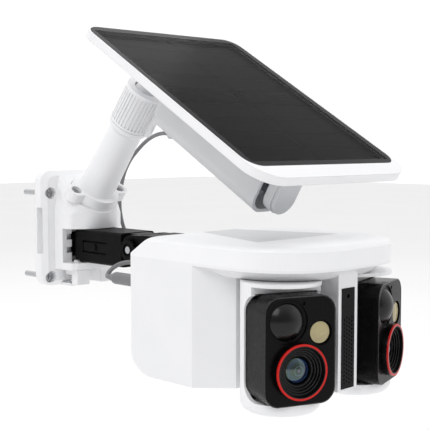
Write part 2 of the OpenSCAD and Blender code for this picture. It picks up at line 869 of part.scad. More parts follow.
module camera_neck() {
    arm_x = [-neck_w / 2, fork_in];
    color("black") difference() {
        union() {
            for (x = arm_x) {
                translate([0, -hinge_y, hinge_z]) x_rod(knuckle_r, x, x + neck_w / 2 - fork_in);
                translate([x, -neck_from - 1, hinge_z - knuckle_r])
                    cube([neck_w / 2 - fork_in, neck_from + 1 - hinge_y, 2 * knuckle_r]);
            }
            translate([-neck_w / 2, -body_rear + 1, hinge_z - knuckle_r])
                cube([neck_w, body_rear - 1 - neck_from, 2 * knuckle_r + 0.5]);
            translate([0, 0, (neck_flange_low + neck_flange_top) / 2])
                y_slab(neck_flange_w, neck_flange_top - neck_flange_low, 4,
                    -body_rear + neck_flange_t, -body_rear);
        }
        translate([0, -hinge_y, hinge_z]) x_rod(hinge_bolt_r, -neck_w, neck_w);
        at_neck_screws() translate([0, 0, -neck_flange_t - 1]) cylinder(r = 1.8, h = neck_flange_t + 2);
    }
}

module neck_screws() {
    color("silver") at_neck_screws() cross_screw(2.8, 1.8, 1.5, neck_flange_t + wall + 3);
}

module hinge_bolt() {
    color("silver") translate([0, -hinge_y, hinge_z]) union() {
        x_rod(hinge_bolt_r, -neck_w / 2 - nut_t, neck_w / 2 + 1);
        translate([neck_w / 2, 0, 0]) rotate([0, 90, 0]) cylinder(r = 5, h = 2.8, $fn = 6);
    }
}

module hinge_nut() {
    color("black") translate([-neck_w / 2, -hinge_y, hinge_z]) difference() {
        union() {
            x_rod(nut_r - 1, -nut_t, 0);
            for (i = [0:nut_teeth - 1]) rotate([360 * i / nut_teeth, 0, 0])
                translate([-nut_t, -0.55, 2 * hinge_bolt_r]) cube([nut_t, 1.1, nut_r - 2 * hinge_bolt_r]);
        }
        x_rod(hinge_bolt_r, -nut_t - 1, 1);
        // dished face
        x_rod(nut_r - 3, -nut_t - 1, -nut_t + 1);
    }
}

// ---- camera body ---------------------------------------------------------------------
// outline of the cover and of the visor, inset by a margin
module cover_outline(inset) {
    x = side_x - inset;
    rc = max(edge_r - inset, 1);
    rear = body_rear + inset;
    translate([-x, -nose_y]) square([2 * x, nose_y - rear - rc]);
    translate([-x + rc, -rear - rc - 1]) square([2 * (x - rc), rc + 1]);
    translate([-nose_x, -nose_y - nose_r + inset]) square([2 * nose_x, nose_r - inset + 1]);
    for (s = [-1, 1]) {
        translate([s * (x - rc), -rear - rc]) circle(rc);
        translate([s * nose_x, -nose_y]) circle(nose_r - inset, $fn = 96);
    }
}

// outline of the body under the visor: two lobes and the middle column
module body_outline(inset) {
    x = side_x - inset;
    rc = max(edge_r - inset, 1);
    rear = body_rear + inset;
    back = bay_back - inset;
    tip = lobe_tip_x - inset * 0.4;
    col = column_w / 2 - inset;
    translate([-x + rc, -rear - rc - 1]) square([2 * (x - rc), rc + 1]);
    for (s = [-1, 1]) translate([s * (x - rc), -rear - rc]) circle(rc);
    polygon([[x, -rear - rc], [x, -lobe_y + inset * 0.4], [tip, -back], [col, -back],
        [col, -column_front + inset], [-col, -column_front + inset], [-col, -back], [-tip, -back],
        [-x, -lobe_y + inset * 0.4], [-x, -rear - rc]]);
}

// side view of the body: vertical rear wall, rounded heel and flat floor
module heel_profile(inset) {
    r = heel_r - inset;
    rear = -body_rear - inset;
    low = floor_z + inset;
    translate([-visor_front, low]) square([visor_front - body_rear - heel_r, seam_z + 1 - low]);
    translate([rear - r - 1, low + r]) square([r + 1, seam_z + 1 - low - r]);
    translate([rear - r, low + r]) circle(r);
}

module body_solid(inset, top) {
    intersection() {
        translate([0, 0, floor_z - 1]) linear_extrude(top - floor_z + 1) body_outline(inset);
        across(2 * body_w) heel_profile(inset);
    }
}

// visor's underside, coved down to the drums
module visor_roof() {
    slab = 0.2;
    translate([0, 0, seam_z - 1.4]) linear_extrude(1.4) cover_outline(0);
    hull($fn = 32) {
        translate([0, 0, seam_z - 1.4]) linear_extrude(slab) cover_outline(0.4);
        translate([0, 0, seam_z - 3.2]) linear_extrude(slab) cover_outline(6);
    }
    hull($fn = 32) {
        translate([0, 0, seam_z - 3.2]) linear_extrude(slab) cover_outline(6);
        translate([0, 0, bay_roof]) linear_extrude(slab) cover_outline(12.5);
    }
}

// places its children at the cover's screws, on the visor's underside
module at_cover_screws() {
    for (x = [-1, 1], spot = [[47, -226], [11.5, -262]])
        translate([x * spot[0], spot[1], bay_roof]) children();
}

module at_board_posts() {
    for (x = [-1, 1], y = [-1, 1]) translate([x * post_x, y * post_y - board_y, 0]) children();
}

module main_shell() {
    color("white") difference() {
        union() {
            difference() {
                union() {
                    body_solid(0, seam_z);
                    visor_roof();
                }
                body_solid(wall, seam_z + 1);
            }
            // posts for the circuit board
            at_board_posts() translate([0, 0, floor_z + 1]) cylinder(r = post_r, h = board_z - floor_z - 1);
        }
        // groove for the gasket
        translate([0, 0, seam_z - gasket_h]) linear_extrude(gasket_h + 1) gasket_ring();
        // hub bores of the pan axes
        for (s = [-1, 1]) translate([s * pan_x, -pan_y, bay_roof - 1])
            cylinder(r = hub_r + run_gap, h = seam_z - bay_roof + 2);
        // cover screws, heads sunk in the visor's underside
        at_cover_screws() {
            cylinder(r = 3, h = 2);
            cylinder(r = 1.6, h = seam_z - bay_roof + 1);
        }
        // neck screws, power socket and speaker window
        at_neck_screws() translate([0, 0, -neck_flange_t - wall - 4]) cylinder(r = 1.5, h = wall + 5);
        translate([socket_x, 0, socket_z]) y_rod(socket_r, -body_rear + 1, -body_rear - wall - 1);
        translate([-grille_w / 2, -column_front - 1, grille_low])
            cube([grille_w, wall + 2, grille_top - grille_low]);
    }
}

module gasket_ring() {
    difference() {
        cover_outline(gasket_in);
        cover_outline(gasket_in + gasket_w);
    }
}

// space behind the cover's sloping rear, moved in by a margin
module rear_bevel(inset) {
    slope = (bevel_z - bevel_low) / (bevel_y - body_rear);
    y = -body_rear - inset;
    across(2 * body_w) polygon([[y, bevel_low], [y - 2 * (bevel_y - body_rear),
        bevel_low + 2 * slope * (bevel_y - body_rear)], [y + 60, bevel_low + 2 * slope * (bevel_y - body_rear)],
        [y + 60, bevel_low]]);
}

module top_cover() {
    slab = 0.2;
    ceiling = cover_top - wall;
    color("white") difference() {
        union() {
            difference() {
                hull() {
                    translate([0, 0, seam_z]) linear_extrude(band_top - seam_z) cover_outline(0);
                    translate([0, 0, band_top + 1.3]) linear_extrude(slab) cover_outline(1);
                    translate([0, 0, band_top + 2.3]) linear_extrude(slab) cover_outline(3);
                    translate([0, 0, cover_top - slab]) linear_extrude(slab) cover_outline(9);
                }
                difference() {
                    translate([0, 0, seam_z - 1]) linear_extrude(ceiling - seam_z + 1) cover_outline(wall);
                    rear_bevel(wall * 1.6);
                }
            }
            at_cover_screws() translate([0, 0, seam_z - bay_roof]) cylinder(r = post_r, h = ceiling - seam_z + 0.5);
        }
        rear_bevel(0);
        at_cover_screws() cylinder(r = 1.3, h = seam_z - bay_roof + 7);
    }
}

module cover_gasket() {
    color("dimgray") translate([0, 0, seam_z - gasket_h]) linear_extrude(gasket_h) gasket_ring();
}

module cover_screws() {
    color("silver") at_cover_screws() translate([0, 0, 2]) rotate([180, 0, 0])
        cross_screw(2.8, 1.6, 1.3, seam_z - bay_roof + 4);
}

module battery_pack() {
    low = floor_z + wall + cell_r;
    color("steelblue") for (y = [0, 1], z = [0, 1])
        translate([0, -body_rear - wall - 12 - cell_r - y * (2 * cell_r + 1), low + z * (2 * cell_r + 0.6)])
            x_rod(cell_r, -cell_l / 2, cell_l / 2);
    color("steelblue") for (y = [0, 1])
        translate([-8, -body_rear - wall - 12 - cell_r - y * (2 * cell_r + 1) - 2, low])
            cube([16, 4, 2 * cell_r + 0.6]);
}

module main_board() {
    color("green") difference() {
        translate([0, -board_y, board_z])
            soft_plate(2 * post_x + 7, 2 * post_y + 7, 3, board_t);
        at_board_posts() translate([0, 0, board_z - 1]) cylinder(r = 1.5, h = board_t + 2);
    }
}

module power_socket() {
    color("dimgray") translate([socket_x, 0, socket_z]) difference() {
        union() {
            y_rod(socket_r + 1.4, -body_rear + socket_flange_t, -body_rear);
            y_rod(socket_r, -body_rear + 1, -body_rear - wall - 6);
        }
        y_rod(pin_r, -body_rear + socket_flange_t + 1, -body_rear - wall - 2);
    }
}

module speaker() {
    color("dimgray") translate([-6, -column_front + grille_t, -62]) cube([12, 12, 28]);
}

module speaker_grille() {
    front = -column_front - 0.3;
    color("black") difference() {
        translate([-grille_w / 2 + seat_gap, front, grille_low + seat_gap])
            cube([grille_w - 2 * seat_gap, grille_t + 0.3, grille_top - grille_low - 2 * seat_gap]);
        // microphone hole and the field of small sound holes
        translate([0, 0, grille_top - 5]) y_rod(1.2, front + 5, front - 1);
        for (i = [0:3], k = [0:hole_rows - 1])
            translate([(i - 1.5) * hole_pitch, 0, grille_low + 3.5 + (k + i % 2 / 2) * hole_pitch])
                y_rod(hole_r, front + 5, front - 1, $fn = 16);
    }
}

// ---- cord ----------------------------------------------------------------------------
module cord_plug() {
    face = cord_route[len(cord_route) - 1][1];
    shoulder = face - plug_nose_l - plug_r + 0.6;
    color("gray") translate([socket_x, 0, socket_z]) union() {
        y_rod(plug_nose_r, face, shoulder);
        translate([0, shoulder, 0]) rotate([90, 0, 0]) rotate_extrude() intersection() {
            union() {
                circle(r = plug_r);
                square([plug_r, body_rear - socket_flange_t + shoulder]);
            }
            translate([0, -plug_r]) square([plug_r, body_rear]);
        }
        y_rod(pin_r, -body_rear + socket_flange_t + 1, -body_rear - wall - 1);
    }
}

// smooth curve through the route's points
function route(i) = cord_route[max(0, min(len(cord_route) - 1, i))];
function curve(i, t) = let (a = route(i - 1), b = route(i), c = route(i + 1), d = route(i + 2))
    0.5 * (2 * b + (c - a) * t + (2 * a - 5 * b + 4 * c - d) * t * t
        + (3 * b - a - 3 * c + d) * t * t * t);
function unit(v) = v / norm(v);

module solar_cord() {
    spans = len(cord_route) - 1;
    line = concat([for (i = [0:spans - 1], j = [0:cord_steps - 1]) curve(i, j / cord_steps)],
        [route(spans)]);
    last = len(line) - 1;
    ways = [for (i = [0:last]) i == 0 || i == last ? [0, 1, 0] * (i == 0 ? 1 : -1)
        : unit(line[i + 1] - line[i - 1])];
    color("gray") tube([for (i = [0:last]) each cord_ring(line[i], ways[i])], last + 1, cord_sides);
}

// ring of points round the cord, square to its way
function cord_ring(at, way) = let (side = unit(cross(way, [0.35, 0.2, -1])), up = cross(side, way))
    [for (k = [0:cord_sides - 1]) let (a = 360 * k / cord_sides)
        at + cord_r * (cos(a) * side + sin(a) * up)];

// ---- camera modules ------------------------------------------------------------------
module pan_motor(side) {
    color("silver") translate([side * pan_x, -pan_y, seam_z]) difference() {
        cylinder(r = pan_motor_r, h = motor_h);
        translate([0, 0, -1]) cylinder(r = spindle_r + run_gap, h = motor_h - 1);
    }
}

// side view of the black housing, with round corners towards the drum
module flank_profile(grow) {
    low = face_mid - face_h / 2 - grow;
    high = face_mid + face_h / 2 + grow;
    translate([-2 * drum_r, low]) square([2 * drum_r - flank_r + grow, high - low]);
    translate([-flank_r + grow - 1, low + flank_r]) square([flank_r + 1, high - low - 2 * flank_r]);
    for (z = [low + flank_r, high - flank_r]) translate([-flank_r + grow, z]) circle(flank_r);
}

module drum(side) {
    top = drum_top;
    color("white") at_module(side) union() {
        difference() {
            rotate_extrude() {
                translate([0, drum_low + drum_edge]) square([drum_r, top - drum_low - drum_edge]);
                translate([0, drum_low]) square([drum_r - drum_edge, drum_edge + 1]);
                translate([drum_r - drum_edge, drum_low + drum_edge]) circle(drum_edge);
            }
            translate([0, 0, face_mid - face_h / 2]) cylinder(r = drum_r - wall, h = face_h);
            across(4 * drum_r) flank_profile(seat_gap);
            // set back above the black housing, under a thin rim
            translate([-2 * drum_r, -2 * drum_r, face_mid + face_h / 2 - 0.5])
                cube([4 * drum_r, 2 * drum_r - drum_front, top - drum_rim - face_mid - face_h / 2 + 0.5]);
        }
        // hub and spindle up to the pan motor
        translate([0, 0, top - 1]) cylinder(r = hub_r, h = seam_z - top + 0.6);
        translate([0, 0, top - 1]) cylinder(r = spindle_r, h = seam_z - top + motor_h - 2);
    }
}

module housing(side) {
    front = -face_d + face_t;
    color("black") at_module(side) union() {
        difference() {
            intersection() {
                translate([0, 0, face_mid]) y_slab(face_w, face_h, face_corner, 0, front);
                across(4 * drum_r) flank_profile(0);
            }
            intersection() {
                translate([0, 0, face_mid]) y_slab(face_w - 2 * shell_t, face_h - 2 * shell_t,
                    face_corner - shell_t, -shell_t, front - 1);
                translate([0, -shell_t, 0]) across(4 * drum_r) flank_profile(-shell_t);
            }
        }
        // posts that carry the image sensor
        at_face(lens_at) for (x = [-7, 7], z = [-7, 7])
            translate([x, 0, z]) y_rod(1.2, -shell_t + 1, -barrel_back + 1.4);
    }
}

module face(side) {
    front = -face_d;
    back = front + face_t;
    color("black") at_module(side) difference() {
        translate([0, 0, face_mid]) y_slab(face_w, face_h, face_corner, back, front);
        at_face(lens_at) y_rod(barrel_r, back + 1, front - 1);
        at_face(dome_at) {
            y_rod(dome_recess_r, front + 1, front - 1);
            y_rod(dome_r - 1, back + 1, front - 1);
        }
        at_face(lamp_at) {
            y_rod(lamp_recess_r, front + 1.5, front - 1);
            y_rod(lamp_r, back + 1, front - 1);
        }
        at_face(eye_at) y_rod(1.3, front + 1, front - 1);
    }
}

module lens_barrel(side) {
    front = -face_d - ring_out + ring_t;
    cone_r = lens_ring_r - ring_band;
    color("black") at_module(side) at_face(lens_at) difference() {
        union() {
            y_rod(lens_ring_r, -face_d, front);
            y_rod(barrel_r, -barrel_back, -face_d - 1);
        }
        for (i = [0:cone_steps - 1]) y_rod(cone_r - i * step_r, front + (i + 1) * step_d, front - 1);
        y_rod(lens_r, front + (cone_steps + 2) * step_d, front - 1);
        y_rod(lens_r - 1.8, -barrel_back + 1, front - 1);
    }
}

module lens_ring(side) {
    front = -face_d - ring_out;
    color("red") at_module(side) at_face(lens_at) difference() {
        y_rod(lens_ring_r, front + ring_t, front);
        y_rod(lens_ring_r - ring_band, front + ring_t + 1, front - 1);
    }
}

module lens(side) {
    back = -face_d - ring_out + ring_t + (cone_steps + 2) * step_d;
    bulge = 14;
    color("midnightblue") at_module(side) at_face(lens_at) intersection() {
        y_rod(lens_r, back, back - 4);
        translate([0, back - 3.4 + bulge, 0]) sphere(r = bulge, $fn = 96);
    }
}

module image_sensor(side) {
    color("green") at_module(side) at_face(lens_at) union() {
        y_slab(20, 20, 1.5, -barrel_back + 1.4, -barrel_back);
        y_slab(7, 7, 0.5, -barrel_back + 0.5, -barrel_back - 0.8);
    }
}

module motion_dome(side) {
    seat = -face_d + 1;
    ball = (dome_r * dome_r + dome_h * dome_h) / (2 * dome_h);
    color("white") at_module(side) at_face(dome_at) union() {
        intersection() {
            translate([0, seat - dome_h + ball, 0]) sphere(r = ball, $fn = 96);
            y_rod(dome_r, seat, seat - dome_h - 1);
        }
        y_rod(dome_r - 1, seat + 3, seat - 1);
    }
}

module lamp(side) {
    color("lemonchiffon") at_module(side) at_face(lamp_at) union() {
        y_rod(lamp_r, -face_d + face_t + 2, -face_d + 0.9);
        intersection() {
            translate([0, -face_d + 0.3 + 3 * lamp_r, 0]) sphere(r = 3 * lamp_r, $fn = 96);
            y_rod(lamp_r, -face_d + 2, -face_d);
        }
    }
}

bracket();
wall_screws();
release_button();
button_spring();
solar_pole();
pole_screws();
lock_ring();
socket_gasket();
friction_cup();
friction_pad();
ball_stud();
tracker_beam();
tracker_lid();
tracker_motor();
beam_screws();
roll_shaft();
panel_frame();
panel_back();
solar_cells();
panel_glass();
front_lug();
rear_lug();
lug_cap();
lug_screws();
adapter();
hinge_bolt();
hinge_nut();
camera_neck();
neck_screws();
main_shell();
top_cover();
cover_gasket();
cover_screws();
battery_pack();
main_board();
power_socket();
speaker();
speaker_grille();
cord_plug();
solar_cord();
pan_motor(-1);  // left_pan_motor
pan_motor(1);  // right_pan_motor
drum(-1);  // left_drum
housing(-1);  // left_housing
face(-1);  // left_face
lens_barrel(-1);  // left_lens_barrel
lens_ring(-1);  // left_lens_ring
lens(-1);  // left_lens
image_sensor(-1);  // left_image_sensor
motion_dome(-1);  // left_motion_dome
lamp(-1);  // left_lamp
drum(1);  // right_drum
housing(1);  // right_housing
face(1);  // right_face
lens_barrel(1);  // right_lens_barrel
lens_ring(1);  // right_lens_ring
lens(1);  // right_lens
image_sensor(1);  // right_image_sensor
motion_dome(1);  // right_motion_dome
lamp(1);  // right_lamp
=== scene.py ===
import json
from math import radians, pi

import bpy
import numpy as np
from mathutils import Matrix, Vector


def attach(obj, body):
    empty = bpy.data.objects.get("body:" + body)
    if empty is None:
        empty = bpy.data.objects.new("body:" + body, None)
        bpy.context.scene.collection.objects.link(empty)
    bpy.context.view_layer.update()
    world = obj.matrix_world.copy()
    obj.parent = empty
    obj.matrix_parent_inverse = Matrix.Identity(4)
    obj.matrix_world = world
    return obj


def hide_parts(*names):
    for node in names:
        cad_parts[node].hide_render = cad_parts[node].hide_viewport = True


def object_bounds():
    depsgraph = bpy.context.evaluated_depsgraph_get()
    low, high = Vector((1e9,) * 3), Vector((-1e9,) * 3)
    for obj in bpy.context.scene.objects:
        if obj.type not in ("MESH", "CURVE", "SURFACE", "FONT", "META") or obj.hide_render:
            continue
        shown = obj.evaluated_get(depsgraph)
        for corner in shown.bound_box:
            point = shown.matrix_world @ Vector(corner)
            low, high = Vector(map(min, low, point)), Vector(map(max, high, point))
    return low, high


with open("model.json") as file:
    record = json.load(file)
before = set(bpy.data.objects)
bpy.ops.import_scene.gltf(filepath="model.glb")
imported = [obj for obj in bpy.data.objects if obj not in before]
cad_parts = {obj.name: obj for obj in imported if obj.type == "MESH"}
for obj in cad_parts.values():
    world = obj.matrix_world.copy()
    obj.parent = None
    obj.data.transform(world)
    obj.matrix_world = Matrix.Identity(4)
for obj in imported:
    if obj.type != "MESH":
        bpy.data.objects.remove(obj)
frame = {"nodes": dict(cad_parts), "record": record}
nodes = frame["nodes"]
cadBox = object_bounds()
print("frame loaded:", len(nodes), "parts")

mm = 0.001


# sRGB hex to linear colour, opaque
def hexColor(code):
    channels = [int(code[i:i + 2], 16) / 255 for i in (1, 3, 5)]
    linear = [c / 12.92 if c <= 0.04045 else ((c + 0.055) / 1.055) ** 2.4 for c in channels]
    return (*linear, 1.0)


# camera, from the front left and a little above
cameraValues = {
    "place": (-474.1 * mm, -633.1 * mm, 71.5 * mm),
    "pitch": 4.25,
    "turn": -45.0,
    "lens": 83.47,
    "sensor": 36,
    "nearest": 0.02,
}

cameraData = bpy.data.cameras.new("camera")
cameraData.lens = cameraValues["lens"]
cameraData.sensor_width = cameraValues["sensor"]
cameraData.clip_start = cameraValues["nearest"]
camera = bpy.data.objects.new("camera", cameraData)
camera.location = cameraValues["place"]
camera.rotation_euler = (radians(90 - cameraValues["pitch"]), 0, radians(cameraValues["turn"]))
bpy.context.scene.collection.objects.link(camera)
bpy.context.scene.camera = camera
# plain display curve, so that white resin stays white and black resin stays black
bpy.context.scene.view_settings.view_transform = "Standard"


# puts a grid of points into a mesh; wrapU and wrapV close it round, capEnds closes its two mouths
def gridMesh(name, points, wrapU=False, wrapV=False, capEnds=False):
    countU, countV = points.shape[:2]
    indexGrid = np.arange(countU * countV).reshape(countU, countV)
    nextU = np.roll(indexGrid, -1, axis=0) if wrapU else indexGrid[1:]
    hereU = indexGrid if wrapU else indexGrid[:-1]
    nextRow = np.roll(nextU, -1, axis=1) if wrapV else nextU[:, 1:]
    hereRow = np.roll(hereU, -1, axis=1) if wrapV else hereU[:, 1:]
    a = hereU if wrapV else hereU[:, :-1]
    b = nextU if wrapV else nextU[:, :-1]
    quads = np.stack([a, b, nextRow, hereRow], axis=-1).reshape(-1, 4)
    faces = quads.tolist()
    if capEnds:
        faces.append(indexGrid[0].tolist())
        faces.append(indexGrid[-1][::-1].tolist())
    # the volume is the sum of each face's fan of corner products; negative means inside out
    flat = points.reshape(-1, 3)
    volume = np.einsum("ij,ij->", flat[quads[:, 0]], np.cross(flat[quads[:, 1]], flat[quads[:, 2]]))
    volume += np.einsum("ij,ij->", flat[quads[:, 0]], np.cross(flat[quads[:, 2]], flat[quads[:, 3]]))
    if volume < 0:
        faces = [face[::-1] for face in faces]
    mesh = bpy.data.meshes.new(name)
    mesh.from_pydata(flat.tolist(), [], faces)
    mesh.validate()
    mesh.polygons.foreach_set("use_smooth", np.ones(len(mesh.polygons), dtype=bool))
    mesh.update()
    piece = bpy.data.objects.new(name, mesh)
    bpy.context.scene.collection.objects.link(piece)
    return piece


# tube of round section along a path: each ring lies square to the way there,
# on a frame carried along the path so that it doesn't twist
def tubePoints(path, radius, sides, closed=False, guide=(0.35, 0.2, -1.0)):
    if closed:
        way = np.roll(path, -1, axis=0) - np.roll(path, 1, axis=0)
    else:
        way = np.gradient(path, axis=0)
    way /= np.linalg.norm(way, axis=1)[:, None]
    side = np.cross(way, np.array(guide))
    side /= np.linalg.norm(side, axis=1)[:, None]
    lift = np.cross(side, way)
    angle = np.linspace(0, 2 * pi, sides, endpoint=False)
    ring = np.cos(angle)[None, :, None] * side[:, None, :] + np.sin(angle)[None, :, None] * lift[:, None, :]
    radius = np.broadcast_to(np.asarray(radius, dtype=float), (len(path),))
    return path[:, None, :] + radius[:, None, None] * ring


# cord from the tracker to the camera
cordValues = {
    "diameter": 3.0 * mm,
    "sides": 16,
    "steps": 8,
    "route": [
        (4, -110, 76), (9, -99, 77), (15, -86, 76.5), (20, -73, 74.5), (24, -60, 70.5),
        (27, -48, 64.5), (29, -37, 57), (30.5, -28, 47), (31, -23, 35), (31, -21, 21), (31, -24, 7),
        (30, -32, -4), (27, -44, -9), (24, -58, -11), (22, -74, -12), (21, -90, -12), (20, -105, -15),
        (14, -118, -20), (4, -125, -24), (-8, -128, -25), (-19, -127, -21), (-28, -123, -15),
        (-34, -116, -11.5), (-38, -108, -12), (-42, -103, -15), (-46, -102, -18.5),
        (-49.4, -105, -20.4), (-50, -110, -20.5),
    ],
}


# smooth curve through points: each span is a cubic whose slope at a point is half the way
# between its neighbours
def smoothPath(points, steps):
    padded = np.vstack([points[:1], points, points[-1:]])
    a, b, c, d = padded[:-3], padded[1:-2], padded[2:-1], padded[3:]
    t = np.linspace(0, 1, steps, endpoint=False)[None, :, None]
    a, b, c, d = (p[:, None, :] for p in (a, b, c, d))
    curve = 0.5 * (2 * b + (c - a) * t + (2 * a - 5 * b + 4 * c - d) * t ** 2
                   + (3 * b - a - 3 * c + d) * t ** 3)
    return np.vstack([curve.reshape(-1, 3), points[-1:]])


cordPath = smoothPath(np.array(cordValues["route"], dtype=float) * mm, cordValues["steps"])
cord = gridMesh("cord", tubePoints(cordPath, cordValues["diameter"] / 2, cordValues["sides"]),
                wrapV=True, capEnds=True)
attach(cord, "bracket")
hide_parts("solar_cord")


# the two camera modules: trims round the face and on the lens steps, lighter grey tubes that are painted
# highlights on their edges
moduleValues = {
    "panPlace": (35.2, -249.0, -47.8),
    "turns": {"left": -21.0, "right": 17.5},
    "faceOut": 24.3,
    "faceSize": (46.0, 63.0),
    "faceCorner": 9.5,
    "highlightRadius": 0.35,
    "lensPlace": (-1.0, -11.4),
    "stepFront": 27.8,
    "stepRadii": (13.15, 11.8, 10.45, 9.1),
    "stepDepth": 1.1,
    "stepTube": 0.16,
    "sides": 10,
}


# points in a module's own frame to the row frame: a turn about the pan axis, then the axis's place
def modulePoints(side, points):
    turn = radians(moduleValues["turns"][side])
    place = np.array(moduleValues["panPlace"]) * (-1 if side == "left" else 1, 1, 1)
    x, y, z = np.asarray(points, dtype=float).T
    turned = np.stack([x * np.cos(turn) - y * np.sin(turn), x * np.sin(turn) + y * np.cos(turn), z], axis=-1)
    return (turned + place) * mm


# the way a module looks
def moduleWay(side):
    turn = radians(moduleValues["turns"][side])
    return np.array([np.sin(turn), -np.cos(turn), 0.0])


# outline of a rounded rectangle in the plane of the face: a quarter circle at each corner
def roundedOutline(width, height, corner, out, steps=12):
    points = []
    for quarter in range(4):
        angle = np.linspace(quarter * pi / 2, (quarter + 1) * pi / 2, steps)
        signX = 1 if quarter in (0, 3) else -1
        signZ = 1 if quarter in (0, 1) else -1
        x = signX * (width / 2 - corner) + corner * np.cos(angle)
        z = signZ * (height / 2 - corner) + corner * np.sin(angle)
        points.append(np.stack([x, np.full(steps, -out), z], axis=-1))
    return np.vstack(points)


def ringPath(radius, out, place, steps=72):
    angle = np.linspace(0, 2 * pi, steps, endpoint=False)
    return np.stack([place[0] + radius * np.cos(angle), np.full(steps, -out),
                     place[1] + radius * np.sin(angle)], axis=-1)


# lighter grey tubes round each face and on each lens step: painted highlights of their edges
highlightTrims = []
for side in ("left", "right"):
    way = moduleWay(side)
    width, height = moduleValues["faceSize"]
    inset = moduleValues["highlightRadius"]
    outline = roundedOutline(width - 2 * inset, height - 2 * inset, moduleValues["faceCorner"] - inset,
                             moduleValues["faceOut"] - inset / 2)
    paths = [("bezelHighlight", outline, inset)]
    for index, radius in enumerate(moduleValues["stepRadii"]):
        out = moduleValues["stepFront"] - moduleValues["stepDepth"] * (index + 1)
        paths.append(("step" + str(index + 1), ringPath(radius, out, moduleValues["lensPlace"]),
                      moduleValues["stepTube"]))
    for name, path, radius in paths:
        points = tubePoints(modulePoints(side, path), radius * mm, moduleValues["sides"], True, way)
        highlightTrim = gridMesh(side + "_" + name, points, wrapU=True, wrapV=True)
        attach(highlightTrim, side + "_module")
        highlightTrims.append(highlightTrim)
print("module trims made:", len(highlightTrims))


# adds a node, sets its properties and plain inputs, and links the rest
def addNode(tree, kind, links=None, inputs=None, **settings):
    node = tree.nodes.new(kind)
    for key, value in settings.items():
        setattr(node, key, value)
    for key, value in (inputs or {}).items():
        node.inputs[key].default_value = value
    for key, source in (links or {}).items():
        tree.links.new(source, node.inputs[key])
    return node


def newMaterial(name):
    material = bpy.data.materials.new(name)
    material.use_nodes = True
    tree = material.node_tree
    tree.nodes.clear()
    output = addNode(tree, "ShaderNodeOutputMaterial")
    shader = addNode(tree, "ShaderNodeBsdfPrincipled")
    tree.links.new(shader.outputs["BSDF"], output.inputs["Surface"])
    place = addNode(tree, "ShaderNodeTexCoord").outputs["Object"]
    return material, tree, shader, place


# the colour sockets of a mix node, which share their names with its number sockets
mixSockets = {"low": 6, "high": 7, "result": 2}


# blend of two colours by a factor, as one socket
def blendColors(tree, factor, low, high):
    blend = addNode(tree, "ShaderNodeMix", {"Factor": factor},
                    {mixSockets["low"]: hexColor(low), mixSockets["high"]: hexColor(high)}, data_type="RGBA")
    return blend.outputs[mixSockets["result"]]


# lays one colour over a linked one where the factor is high
def layColor(tree, factor, under, code):
    blend = addNode(tree, "ShaderNodeMix", {"Factor": factor, mixSockets["low"]: under},
                    {mixSockets["high"]: hexColor(code)}, data_type="RGBA")
    return blend.outputs[mixSockets["result"]]


# sizes in mm of the patterns that the moulded and drawn surfaces share
surfaceValues = {
    "cloud": 30, "rub": 9, "grainHeight": 0.02,
    "middle": (0.3, 0.7),
    "mouldedSpread": (-0.05, 0.06),
    "brushedSpread": (-0.06, 0.08),
    "lineStretch": 12,
    "edgeSamples": 4,
}


# cloudy noise of a given size in mm, as one socket
def cloudNoise(tree, place, size, detail, rough=0.5):
    noise = addNode(tree, "ShaderNodeTexNoise", {"Vector": place},
                    {"Scale": 1 / (size * mm), "Detail": detail, "Roughness": rough})
    return noise.outputs["Fac"]


# roughness that moves with a noise about a middle value, by the two ends of a spread
def unevenGloss(tree, shader, noise, rough, spread):
    gloss = addNode(tree, "ShaderNodeMapRange", {"Value": noise},
                    {"From Min": surfaceValues["middle"][0], "From Max": surfaceValues["middle"][1],
                     "To Min": rough + spread[0], "To Max": rough + spread[1]})
    tree.links.new(gloss.outputs["Result"], shader.inputs["Roughness"])


# moulded or cast surface: faint cloudy shade, rub marks in the gloss, and a grain of grain mm;
# soft is the radius in mm that its sharp edges seem to have
def mouldedSurface(name, low, high, rough, grain, grainDepth, soft=0.5, sockets=None):
    material, tree, shader, place = newMaterial(name)
    cloud = cloudNoise(tree, place, surfaceValues["cloud"], 3.0, 0.55)
    tree.links.new(blendColors(tree, cloud, low, high), shader.inputs["Base Color"])
    rub = cloudNoise(tree, place, surfaceValues["rub"], 5.0, 0.6)
    unevenGloss(tree, shader, rub, rough, surfaceValues["mouldedSpread"])
    bump = addNode(tree, "ShaderNodeBump", {"Height": cloudNoise(tree, place, grain, 2.0)},
                   {"Strength": grainDepth, "Distance": surfaceValues["grainHeight"] * mm})
    if soft:
        edge = addNode(tree, "ShaderNodeBevel", inputs={"Radius": soft * mm},
                       samples=surfaceValues["edgeSamples"])
        tree.links.new(edge.outputs["Normal"], bump.inputs["Normal"])
    tree.links.new(bump.outputs["Normal"], shader.inputs["Normal"])
    for key, value in (sockets or {}).items():
        shader.inputs[key].default_value = value
    return material


# plated or drawn steel: fine lines along one direction, and a slightly uneven gloss
def brushedSurface(name, low, high, rough, line):
    material, tree, shader, place = newMaterial(name)
    across = 1 / (line * mm)
    stretch = addNode(tree, "ShaderNodeMapping", {"Vector": place},
                      {"Scale": (across, across, across / surfaceValues["lineStretch"])})
    lines = addNode(tree, "ShaderNodeTexNoise", {"Vector": stretch.outputs["Vector"]},
                    {"Scale": 1.0, "Detail": 3.0, "Roughness": 0.6})
    tree.links.new(blendColors(tree, lines.outputs["Fac"], low, high), shader.inputs["Base Color"])
    unevenGloss(tree, shader, lines.outputs["Fac"], rough, surfaceValues["brushedSpread"])
    shader.inputs["Metallic"].default_value = 1.0
    return material


# ASA, injection moulded with a satin tool: white, weatherproof, soft highlights
whiteAsa = mouldedSurface("whiteAsaMoulded", "#ebecee", "#f2f2f3", 0.40, 0.35, 0.06)
# the same resin from a smoother tool, on the body, cover and drums
satinAsa = mouldedSurface("satinAsaMoulded", "#e9eaec", "#efeff0", 0.36, 0.30, 0.02, 0)
